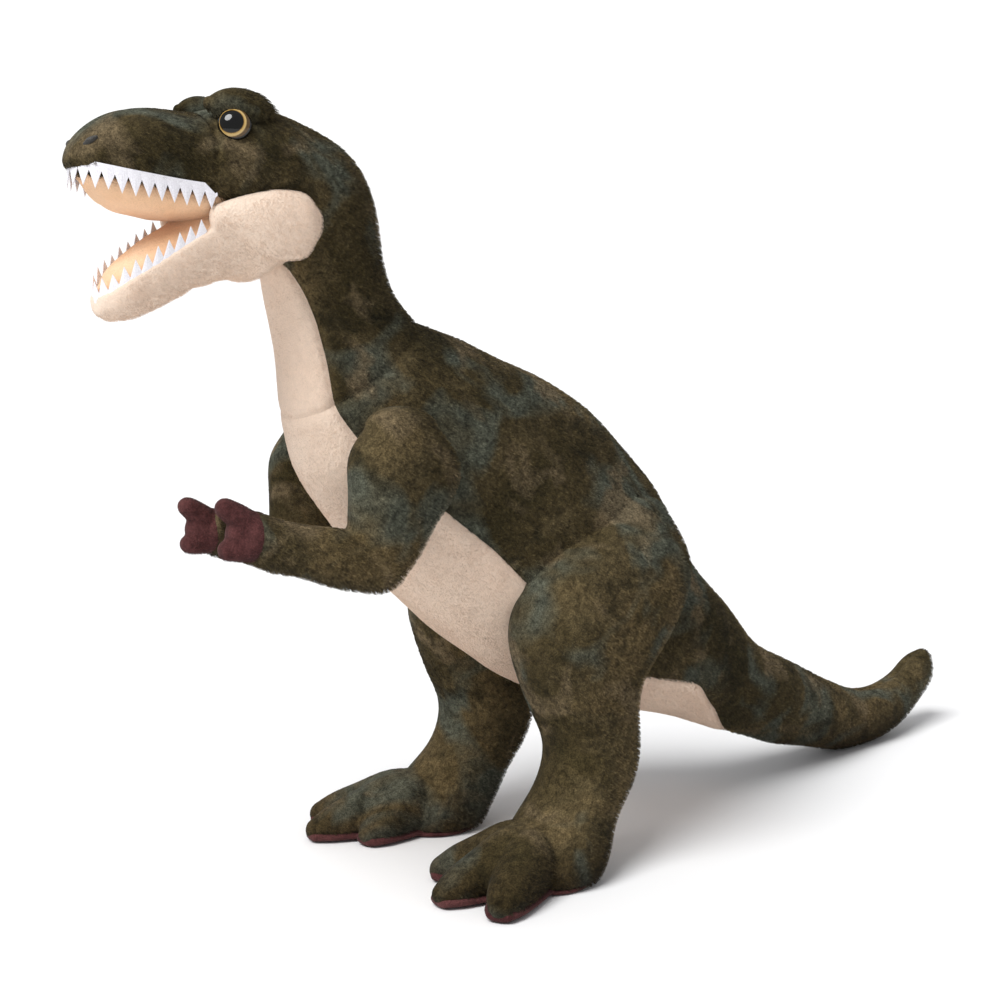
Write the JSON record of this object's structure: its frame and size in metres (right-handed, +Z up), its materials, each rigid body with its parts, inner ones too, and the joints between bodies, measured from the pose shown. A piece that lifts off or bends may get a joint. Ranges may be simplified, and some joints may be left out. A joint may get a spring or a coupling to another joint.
{
  "type": "stuffed dinosaur",
  "caption": "Standing plush theropod dinosaur with an open toothed mouth, short arms, thick legs with soles and a long tail that rests on the floor.",
  "frame": {"origin": "centre of the toy's bounding box, on the floor plane", "axes": "+X towards the snout, +Y to the toy's left, +Z up"},
  "size_m": [0.7627, 0.2356, 0.4696],
  "materials": {
    "green_plush": "short pile plush, mottled green and brown",
    "cream_plush": "short pile plush",
    "peach_plush": "short pile plush",
    "maroon_plush": "short pile plush",
    "tooth_felt": "stiffened felt",
    "stuffing": "polyester fibre fill",
    "bean_cloth": "woven bag of pellets",
    "eye_plastic": "polished, gold iris",
    "washer_plastic": "matte",
    "dark_thread": "satin stitched thread"
  },
  "bodies": {
    "torso": {"torso_panel_left": "green_plush", "torso_panel_right": "green_plush", "belly_panel": "cream_plush", "torso_stuffing": "stuffing", "under_tail_panel": "cream_plush", "neck_panel_left": "green_plush", "neck_panel_right": "green_plush", "throat_panel": "cream_plush", "neck_stuffing": "stuffing", "left_leg_outer_panel": "green_plush", "left_leg_inner_panel": "green_plush", "left_leg_stuffing": "stuffing", "left_foot_top": "green_plush", "left_foot_bean_bag": "bean_cloth", "left_foot_sole": "maroon_plush", "right_leg_outer_panel": "green_plush", "right_leg_inner_panel": "green_plush", "right_leg_stuffing": "stuffing", "right_foot_top": "green_plush", "right_foot_bean_bag": "bean_cloth", "right_foot_sole": "maroon_plush"},
    "head": {"head_panel_left": "green_plush", "head_panel_right": "green_plush", "chin_gusset": "cream_plush", "head_stuffing": "stuffing", "muzzle_cover": "green_plush", "palate_lining": "peach_plush", "upper_tooth_strip": "tooth_felt", "eye_left": "eye_plastic", "eye_right": "eye_plastic", "eye_washer_left": "washer_plastic", "eye_washer_right": "washer_plastic", "brow_left": "green_plush", "brow_right": "green_plush", "cheek_left": "cream_plush", "cheek_right": "cream_plush", "nostril_left": "dark_thread", "nostril_right": "dark_thread"},
    "jaw": {"lower_tooth_strip": "tooth_felt", "jaw_cover": "cream_plush", "jaw_stuffing": "stuffing", "jaw_lining": "peach_plush"},
    "tail": {"tail_panel_left": "green_plush", "tail_panel_right": "green_plush", "tail_stuffing": "stuffing"},
    "left_arm": {"left_arm_outer_panel": "green_plush", "left_arm_inner_panel": "green_plush", "left_arm_stuffing": "stuffing", "left_hand": "maroon_plush"},
    "right_arm": {"right_arm_outer_panel": "green_plush", "right_arm_inner_panel": "green_plush", "right_arm_stuffing": "stuffing", "right_hand": "maroon_plush"}
  },
  "joints": [
    {"name": "neck_nod", "type": "hinge", "parent": "torso", "child": "head", "pos_m": [0.2225, -0.0005, 0.362], "axis": [0, 1, 0], "range_deg": [-9, 9], "stiffness_Nm_per_rad": 4, "deforming": ["neck_panel_left", "neck_panel_right", "throat_panel"]},
    {"name": "jaw_press", "type": "hinge", "parent": "head", "child": "jaw", "pos_m": [0.2795, -0.0005, 0.398], "axis": [0, 1, 0], "range_deg": [-16, 4], "stiffness_Nm_per_rad": 1, "deforming": ["jaw_lining", "palate_lining", "upper_tooth_strip", "lower_tooth_strip"]},
    {"name": "left_arm_swing", "type": "hinge", "parent": "torso", "child": "left_arm", "pos_m": [0.2125, 0.0635, 0.266], "axis": [0.5001, 0.8602, -0.1], "range_deg": [-25, 20], "stiffness_Nm_per_rad": 1},
    {"name": "right_arm_swing", "type": "hinge", "parent": "torso", "child": "right_arm", "pos_m": [0.1815, -0.0805, 0.253], "axis": [0.5001, -0.8602, -0.1], "range_deg": [-20, 25], "stiffness_Nm_per_rad": 1},
    {"name": "tail_wag", "type": "hinge", "parent": "torso", "child": "tail", "pos_m": [-0.0625, -0.001, 0.1045], "axis": [0, 0, 1], "range_deg": [-8, 8], "stiffness_Nm_per_rad": 3, "deforming": ["tail_panel_left", "tail_panel_right", "under_tail_panel"]}
  ]
}
